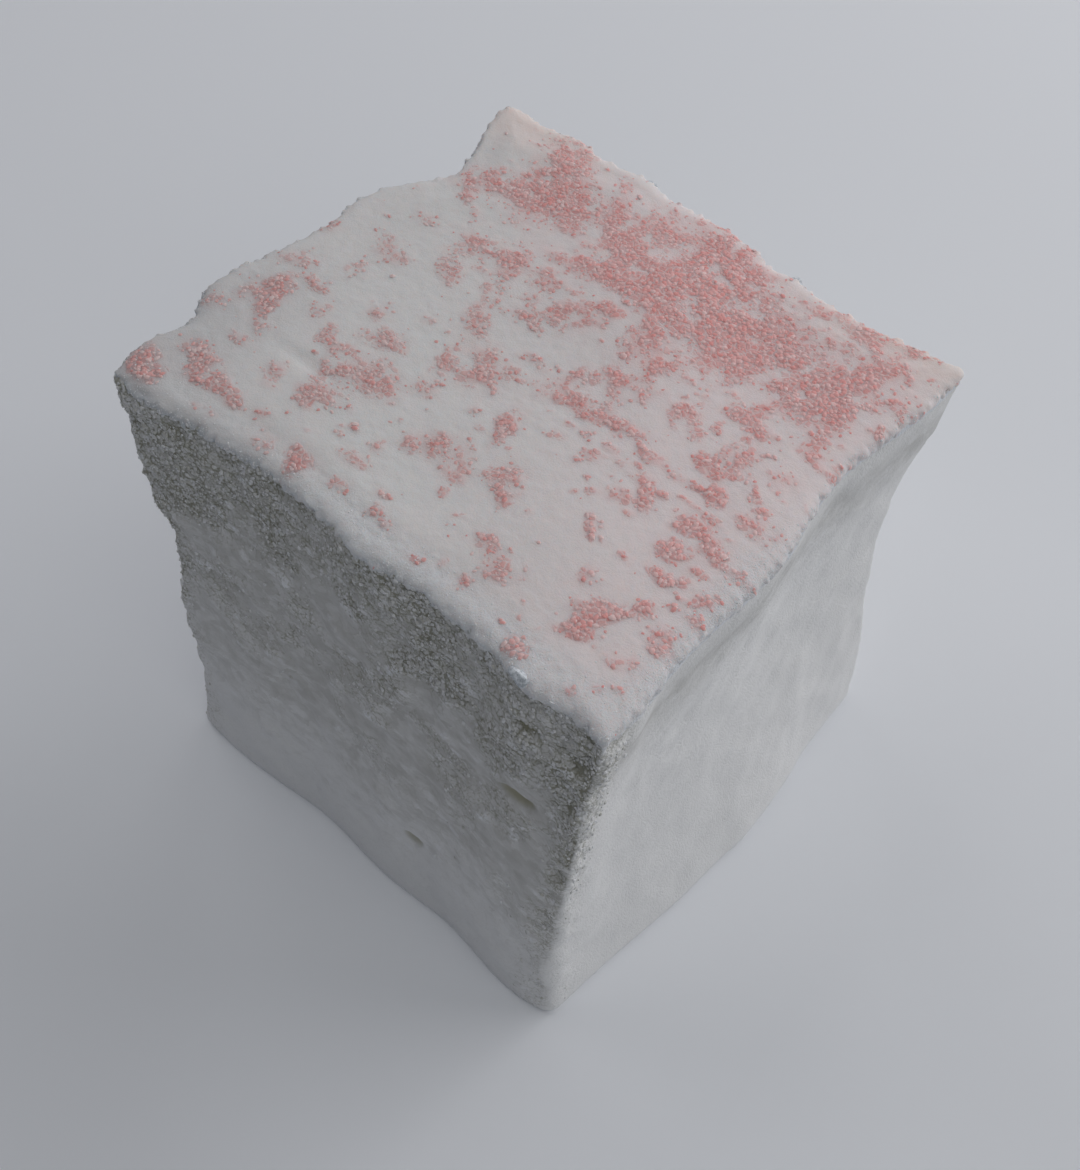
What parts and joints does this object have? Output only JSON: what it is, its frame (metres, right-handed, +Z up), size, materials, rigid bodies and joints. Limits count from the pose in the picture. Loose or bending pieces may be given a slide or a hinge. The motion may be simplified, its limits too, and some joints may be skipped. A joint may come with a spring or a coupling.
{
  "type": "marshmallow",
  "caption": "Hand-cut cube of marshmallow: powdered skin on top with clumps of pink fruit crumb, torn foam sides pinched in at the middle, and a flat underside it stands on.",
  "frame": {"origin": "on the flat underside, below the middle of the bounding box", "axes": "+Z up through the skin with the fruit crumb; -Y out of the front side, the one with three torn pits; +X out of the side to its right"},
  "size_m": [0.0342, 0.0318, 0.0324],
  "materials": {
    "foam": "white sugar foam under a dusting of starch and icing sugar, with pink fruit crumb on the upper side"
  },
  "bodies": {
    "root": {"marshmallow": "foam"}
  },
  "joints": []
}
